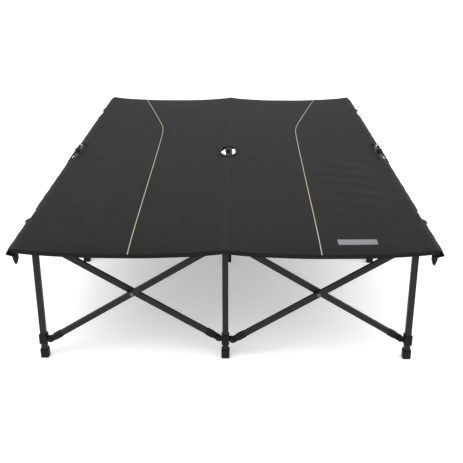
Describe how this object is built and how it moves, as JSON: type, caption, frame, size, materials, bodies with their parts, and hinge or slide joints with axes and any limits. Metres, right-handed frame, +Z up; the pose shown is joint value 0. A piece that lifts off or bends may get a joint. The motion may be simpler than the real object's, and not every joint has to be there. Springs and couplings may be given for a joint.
{
  "type": "folding cot",
  "caption": "Double-width folding cot with a woven cloth deck on three lengthwise rails and crossed arms between upright legs; it closes across its width and folds in half along its length.",
  "frame": {"origin": "on the ground, midway between the sides and between the two ends, below the line where the frame folds in half", "axes": "+X to the right seen from the front end, +Y along the length to the rear end, +Z up"},
  "size_m": [1.35, 2, 0.4615],
  "materials": {
    "deck_cloth": "matt woven polyester",
    "frame_tube": "charcoal powder coat",
    "moulding": "black moulded nylon",
    "pin_steel": "dark zinc"
  },
  "bodies": {
    "front_frame": {"front_deck": "deck_cloth", "front_centre_rail": "frame_tube", "front_centre_hubs": "moulding", "centre_hinge_pin": "pin_steel"},
    "front_centre_leg_pair": {"front_centre_legs": "frame_tube", "front_centre_brackets": "moulding", "front_centre_feet": "moulding"},
    "front_left_down_pair": {"front_left_down_arms": "frame_tube", "front_left_down_arm_ends": "moulding", "front_left_crossing_rivets": "pin_steel"},
    "front_left_up_pair": {"front_left_up_arms": "frame_tube", "front_left_up_arm_ends": "moulding"},
    "front_left_leg_pair": {"front_left_legs": "frame_tube", "front_left_brackets": "moulding", "front_left_feet": "moulding"},
    "front_left_side": {"front_left_rail": "frame_tube", "front_left_hubs": "moulding", "front_left_corner_hook": "moulding", "left_hinge_pin": "pin_steel"},
    "front_right_down_pair": {"front_right_down_arms": "frame_tube", "front_right_down_arm_ends": "moulding", "front_right_crossing_rivets": "pin_steel"},
    "front_right_up_pair": {"front_right_up_arms": "frame_tube", "front_right_up_arm_ends": "moulding"},
    "front_right_leg_pair": {"front_right_legs": "frame_tube", "front_right_brackets": "moulding", "front_right_feet": "moulding"},
    "front_right_side": {"front_right_rail": "frame_tube", "front_right_hubs": "moulding", "front_right_corner_hook": "moulding", "right_hinge_pin": "pin_steel"},
    "rear_frame": {"rear_deck": "deck_cloth", "rear_centre_rail": "frame_tube", "rear_centre_hubs": "moulding"},
    "rear_centre_leg_pair": {"rear_centre_legs": "frame_tube", "rear_centre_brackets": "moulding", "rear_centre_feet": "moulding"},
    "rear_left_down_pair": {"rear_left_down_arms": "frame_tube", "rear_left_down_arm_ends": "moulding", "rear_left_crossing_rivets": "pin_steel"},
    "rear_left_up_pair": {"rear_left_up_arms": "frame_tube", "rear_left_up_arm_ends": "moulding"},
    "rear_left_leg_pair": {"rear_left_legs": "frame_tube", "rear_left_brackets": "moulding", "rear_left_feet": "moulding"},
    "rear_left_side": {"rear_left_rail": "frame_tube", "rear_left_hubs": "moulding", "rear_left_corner_hook": "moulding"},
    "rear_right_down_pair": {"rear_right_down_arms": "frame_tube", "rear_right_down_arm_ends": "moulding", "rear_right_crossing_rivets": "pin_steel"},
    "rear_right_up_pair": {"rear_right_up_arms": "frame_tube", "rear_right_up_arm_ends": "moulding"},
    "rear_right_leg_pair": {"rear_right_legs": "frame_tube", "rear_right_brackets": "moulding", "rear_right_feet": "moulding"},
    "rear_right_side": {"rear_right_rail": "frame_tube", "rear_right_hubs": "moulding", "rear_right_corner_hook": "moulding"}
  },
  "joints": [
    {"name": "width_fold", "type": "hinge", "parent": "front_frame", "child": "front_left_down_pair", "pos_m": [-0.0245, -0.525, 0.418], "axis": [0, -1, 0], "range_deg": [0, 54], "deforming": ["front_deck", "rear_deck"]},
    {"name": "front_left_leg_upright", "type": "hinge", "parent": "front_left_down_pair", "child": "front_left_leg_pair", "pos_m": [-0.5875, -0.525, 0.07], "axis": [0, -1, 0], "range_deg": [-54, 0]},
    {"name": "front_left_crossing_fold", "type": "hinge", "parent": "front_left_down_pair", "child": "front_left_up_pair", "pos_m": [-0.306, -0.525, 0.244], "axis": [0, -1, 0], "range_deg": [-108, 0]},
    {"name": "front_left_side_level", "type": "hinge", "parent": "front_left_up_pair", "child": "front_left_side", "pos_m": [-0.5875, -0.525, 0.418], "axis": [0, -1, 0], "range_deg": [0, 54]},
    {"name": "front_centre_leg_upright", "type": "hinge", "parent": "front_left_up_pair", "child": "front_centre_leg_pair", "pos_m": [-0.0245, -0.525, 0.07], "axis": [0, -1, 0], "range_deg": [0, 54]},
    {"name": "front_right_down_fold", "type": "hinge", "parent": "front_frame", "child": "front_right_down_pair", "pos_m": [0.0245, -0.525, 0.418], "axis": [0, 1, 0], "range_deg": [0, 54]},
    {"name": "front_right_leg_upright", "type": "hinge", "parent": "front_right_down_pair", "child": "front_right_leg_pair", "pos_m": [0.5875, -0.525, 0.07], "axis": [0, 1, 0], "range_deg": [-54, 0]},
    {"name": "front_right_crossing_fold", "type": "hinge", "parent": "front_right_down_pair", "child": "front_right_up_pair", "pos_m": [0.306, -0.525, 0.244], "axis": [0, 1, 0], "range_deg": [-108, 0]},
    {"name": "front_right_side_level", "type": "hinge", "parent": "front_right_up_pair", "child": "front_right_side", "pos_m": [0.5875, -0.525, 0.418], "axis": [0, 1, 0], "range_deg": [0, 54]},
    {"name": "rear_left_down_fold", "type": "hinge", "parent": "rear_frame", "child": "rear_left_down_pair", "pos_m": [-0.0245, 0.525, 0.418], "axis": [0, -1, 0], "range_deg": [0, 54]},
    {"name": "rear_left_leg_upright", "type": "hinge", "parent": "rear_left_down_pair", "child": "rear_left_leg_pair", "pos_m": [-0.5875, 0.525, 0.07], "axis": [0, -1, 0], "range_deg": [-54, 0]},
    {"name": "rear_left_crossing_fold", "type": "hinge", "parent": "rear_left_down_pair", "child": "rear_left_up_pair", "pos_m": [-0.306, 0.525, 0.244], "axis": [0, -1, 0], "range_deg": [-108, 0]},
    {"name": "rear_left_side_level", "type": "hinge", "parent": "rear_left_up_pair", "child": "rear_left_side", "pos_m": [-0.5875, 0.525, 0.418], "axis": [0, -1, 0], "range_deg": [0, 54]},
    {"name": "rear_centre_leg_upright", "type": "hinge", "parent": "rear_left_up_pair", "child": "rear_centre_leg_pair", "pos_m": [-0.0245, 0.525, 0.07], "axis": [0, -1, 0], "range_deg": [0, 54]},
    {"name": "rear_right_down_fold", "type": "hinge", "parent": "rear_frame", "child": "rear_right_down_pair", "pos_m": [0.0245, 0.525, 0.418], "axis": [0, 1, 0], "range_deg": [0, 54]},
    {"name": "rear_right_leg_upright", "type": "hinge", "parent": "rear_right_down_pair", "child": "rear_right_leg_pair", "pos_m": [0.5875, 0.525, 0.07], "axis": [0, 1, 0], "range_deg": [-54, 0]},
    {"name": "rear_right_crossing_fold", "type": "hinge", "parent": "rear_right_down_pair", "child": "rear_right_up_pair", "pos_m": [0.306, 0.525, 0.244], "axis": [0, 1, 0], "range_deg": [-108, 0]},
    {"name": "rear_right_side_level", "type": "hinge", "parent": "rear_right_up_pair", "child": "rear_right_side", "pos_m": [0.5875, 0.525, 0.418], "axis": [0, 1, 0], "range_deg": [0, 54]},
    {"name": "half_fold", "type": "hinge", "parent": "front_frame", "child": "rear_frame", "pos_m": [0, 0, 0.453], "axis": [1, 0, 0], "range_deg": [0, 180]}
  ],
  "couplings": [
    {"joint": "front_left_leg_upright", "follows": "width_fold", "ratio": -1},
    {"joint": "front_left_crossing_fold", "follows": "width_fold", "ratio": -2},
    {"joint": "front_left_side_level", "follows": "width_fold", "ratio": 1},
    {"joint": "front_centre_leg_upright", "follows": "width_fold", "ratio": 1},
    {"joint": "front_right_down_fold", "follows": "width_fold", "ratio": 1},
    {"joint": "front_right_leg_upright", "follows": "width_fold", "ratio": -1},
    {"joint": "front_right_crossing_fold", "follows": "width_fold", "ratio": -2},
    {"joint": "front_right_side_level", "follows": "width_fold", "ratio": 1},
    {"joint": "rear_left_down_fold", "follows": "width_fold", "ratio": 1},
    {"joint": "rear_left_leg_upright", "follows": "width_fold", "ratio": -1},
    {"joint": "rear_left_crossing_fold", "follows": "width_fold", "ratio": -2},
    {"joint": "rear_left_side_level", "follows": "width_fold", "ratio": 1},
    {"joint": "rear_centre_leg_upright", "follows": "width_fold", "ratio": 1},
    {"joint": "rear_right_down_fold", "follows": "width_fold", "ratio": 1},
    {"joint": "rear_right_leg_upright", "follows": "width_fold", "ratio": -1},
    {"joint": "rear_right_crossing_fold", "follows": "width_fold", "ratio": -2},
    {"joint": "rear_right_side_level", "follows": "width_fold", "ratio": 1}
  ]
}
